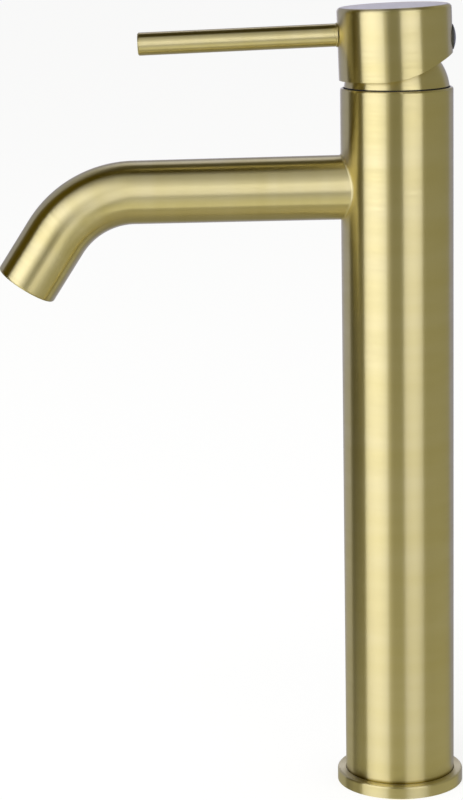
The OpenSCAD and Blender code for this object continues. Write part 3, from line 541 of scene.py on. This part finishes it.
def moulded_rubber():
    """Black EPDM: matt, finely pitted, with the faint grey bloom that rubber seals get."""
    material, tree = new_material("moulded_rubber")
    bloom = grain(tree, HANDLING_PATCH, detail=3.0)
    finish(tree, tone=bloom, colours=("#121211", "#232321"), wear=bloom, roughness=(0.5, 0.72),
           relief=grain(tree, RUBBER_GRAIN), depth=0.02 * MM, strength=0.5)
    return material


def moulded_plastic(name, colours, roughness):
    """Injection-moulded plastic: an even colour that clouds slightly with the flow, and the mould's fine
    grain."""
    material, tree = new_material(name)
    texture = grain(tree, PLASTIC_GRAIN)
    finish(tree, tone=grain(tree, HANDLING_PATCH), colours=colours, wear=texture, roughness=roughness,
           relief=texture, depth=0.01 * MM, strength=0.5)
    return material


def lapped_ceramic():
    """Sintered alumina with lapped faces: warm white, hard and glossy, with the faintest grey speckle."""
    material, tree = new_material("lapped_ceramic")
    specks = grain(tree, CERAMIC_GRAIN, detail=3.0)
    finish(tree, tone=specks, colours=("#DFDBD0", "#F1EDE3"), wear=specks, roughness=(0.1, 0.2),
           relief=specks, depth=0.002 * MM)
    return material


def dress(material, *nodes):
    """Gives CAD nodes their finish."""
    for node in nodes:
        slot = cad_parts[node].material_slots[0]
        slot.link = "OBJECT"
        slot.material = material


# ---------------------------------------------------------------- the spout

AROUND = 128  # facets round the spout
BEND_STEPS = 48  # facets along the bend
EDGE_STEPS = 6  # facets of a rounded edge
RUN_RINGS = (0.3, 0.45, 0.6, 0.75, 0.9)  # rings of points on the straight run, as shares of it
OUTLET_RINGS = (0.3, 0.6)  # the same on the outlet leg
BEND_LENGTH = BEND_RADIUS * BEND_ANGLE
SHARP_ANGLE = math.radians(40)


def skin_radius(along):
    """The tube's outer radius, which shrinks a little up to the bend and grows a little through it."""
    if along < SPOUT_RUN:
        share = max(along - COLUMN_RADIUS, 0) / (SPOUT_RUN - COLUMN_RADIUS)
        return SPOUT_ROOT_RADIUS + (SPOUT_RADIUS - SPOUT_ROOT_RADIUS) * share
    share = min((along - SPOUT_RUN) / BEND_LENGTH, 1)
    return SPOUT_RADIUS + (OUTLET_RADIUS - SPOUT_RADIUS) * share ** 2 * (3 - 2 * share)


def rounded_edge(radius):
    """Points round a quarter circle of this radius, as two distances: the first grows from nothing to the
    radius, and the second shrinks from the radius to nothing."""
    turns = [math.radians(90 * i / EDGE_STEPS) for i in range(EDGE_STEPS + 1)]
    return [(radius * (1 - math.cos(turn)), radius * (1 - math.sin(turn))) for turn in turns]


def spout_stations():
    """The spout's skin from its root to the mouth and back inside: the distance along the path, whether that
    is measured where the ring meets the round column, and the radius."""
    bend_end = SPOUT_RUN + BEND_LENGTH
    end = bend_end + OUTLET_LENGTH
    tube = [SPOUT_RUN * share for share in RUN_RINGS]
    tube += [SPOUT_RUN + BEND_LENGTH * i / BEND_STEPS for i in range(BEND_STEPS + 1)]
    outlet = [bend_end + OUTLET_LENGTH * share for share in OUTLET_RINGS]
    rows = [(COLUMN_BORE_RADIUS, True, SPOUT_ROOT_RADIUS)]
    rows += [(COLUMN_RADIUS + out, True, SPOUT_ROOT_RADIUS + up) for out, up in rounded_edge(BRAZE_RADIUS)]
    rows += [(along, False, skin_radius(along)) for along in tube + outlet]
    rows += [(end - back, False, OUTLET_RADIUS - down) for down, back in rounded_edge(MOUTH_EDGE_RADIUS)]
    rows.append((end, False, MOUTH_SEAT_RADIUS + MOUTH_INNER_CHAMFER))
    rows.append((end - MOUTH_INNER_CHAMFER, False, MOUTH_SEAT_RADIUS))
    rows.append((end - MOUTH_SEAT_DEPTH, False, MOUTH_SEAT_RADIUS))
    rows.append((end - MOUTH_SEAT_DEPTH, False, SPOUT_BORE_RADIUS))
    rows += [(along, False, SPOUT_BORE_RADIUS) for along in reversed(tube)]
    rows.append((COLUMN_BORE_RADIUS, True, SPOUT_BORE_RADIUS))
    return rows


def on_spout(along, turn, radius):
    """The point at a distance along the spout's path, turned from its top towards +Y."""
    ahead = Vector((-math.cos(SPOUT_SLOPE), 0, -math.sin(SPOUT_SLOPE)))
    above = Vector((-math.sin(SPOUT_SLOPE), 0, math.cos(SPOUT_SLOPE)))
    run = min(along, SPOUT_RUN)
    bent = min(max((along - SPOUT_RUN) / BEND_RADIUS, 0), BEND_ANGLE)
    straight = along - BEND_RADIUS * bent - run
    way = ahead * math.cos(bent) - above * math.sin(bent)
    out = above * math.cos(bent) + ahead * math.sin(bent)
    middle = Vector((0, 0, SPOUT_HEIGHT)) + ahead * run + (out - above) * BEND_RADIUS + way * straight
    return middle + (out * math.cos(turn) + SIDEWAYS * math.sin(turn)) * radius


def spout_ring(shape, along, from_column, radius):
    """One ring of points, each with its own distance along the path."""
    ring = []
    for i in range(AROUND):
        turn = 2 * math.pi * i / AROUND
        place = along
        if from_column:
            place = math.sqrt(max(along ** 2 - (radius * math.sin(turn)) ** 2, 0))
        ring.append((shape.verts.new(on_spout(place, turn, radius)), place))
    return ring


def make_spout():
    """The bent tube in one skin with its wall, its rounded mouth and its brazed root. Its brush map runs
    round it."""
    shape = bmesh.new()
    brush = shape.loops.layers.uv.new(BRUSH_MAP)
    rings = [spout_ring(shape, *station) for station in spout_stations()]
    for ring, following in zip(rings, rings[1:] + rings[:1]):
        for i in range(AROUND):
            j = (i + 1) % AROUND
            corners = ((ring[i], i), (following[i], i), (following[j], i + 1), (ring[j], i + 1))
            face = shape.faces.new([point for (point, _), _ in corners])
            face.smooth = True
            for loop, ((_, place), step) in zip(face.loops, corners):
                loop[brush].uv = (step / AROUND, place)
    bmesh.ops.recalc_face_normals(shape, faces=shape.faces)
    mesh = bpy.data.meshes.new("spout")
    shape.to_mesh(mesh)
    shape.free()
    mesh.set_sharp_from_angle(angle=SHARP_ANGLE)
    mesh.materials.append(brushed_gold("brushed_gold_spout"))
    spout = bpy.data.objects.new("spout", mesh)
    bpy.context.scene.collection.objects.link(spout)
    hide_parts("spout_tube")
    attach(spout, "body")


# ---------------------------------------------------------------- the whole scene

bpy.context.scene.view_settings.view_transform = "Standard"
make_camera()
make_world()
make_floor()
make_front_cards()
make_rear_cards()
make_floor_and_ceiling_cards()
make_key_light()

# The column's foot gets painted shade where the base ring meets it.
dress(brushed_gold("brushed_gold_column", ORIGIN, corner=BASE_TOP), "column_shell")
dress(brushed_gold("brushed_gold_ring", ORIGIN), "base_ring", "dome_cover")
dress(brushed_gold("brushed_gold_handle", PIVOT, HANDLE_AXIS, across=SIDEWAYS), "handle_shell")
dress(brushed_gold("brushed_gold_lever", LEVER_ROOT, LEVER_AXIS), "lever_rod")
dress(machined_brass(), "foot_block", "valve_body", "retaining_nut", "stem")
dress(drawn_copper(), "hot_riser", "cold_riser")
dress(turned_steel(), "pivot_pin", "clamp_screw")
# rim_seal is a black ring in the slot between the dome and the column's rim: its black stands for the shade
# in that slot, as painted shade.
dress(moulded_rubber(), "base_gasket", "riser_seals", "port_seals", "outlet_washer", "base_seals",
      "dome_seal", "rim_seal")
dress(moulded_plastic("acetal_white", colours=("#DAD9D2", "#EBEAE4"), roughness=(0.38, 0.5)),
      "flow_plate", "cartridge_base", "cartridge_housing")
dress(moulded_plastic("nylon_grey", colours=("#6A6D70", "#787B7E"), roughness=(0.4, 0.52)),
      "outlet_sleeve", "outlet_grille", "rotor")
dress(moulded_plastic("gloss_charcoal", colours=("#2B2A27", "#34332F"), roughness=(0.2, 0.3)), "disc_carrier")
dress(moulded_plastic("gloss_grey", colours=("#3A3A38", "#4A4A47"), roughness=(0.12, 0.2)), "rear_plug")
dress(lapped_ceramic(), "fixed_disc", "moving_disc")
make_spout()
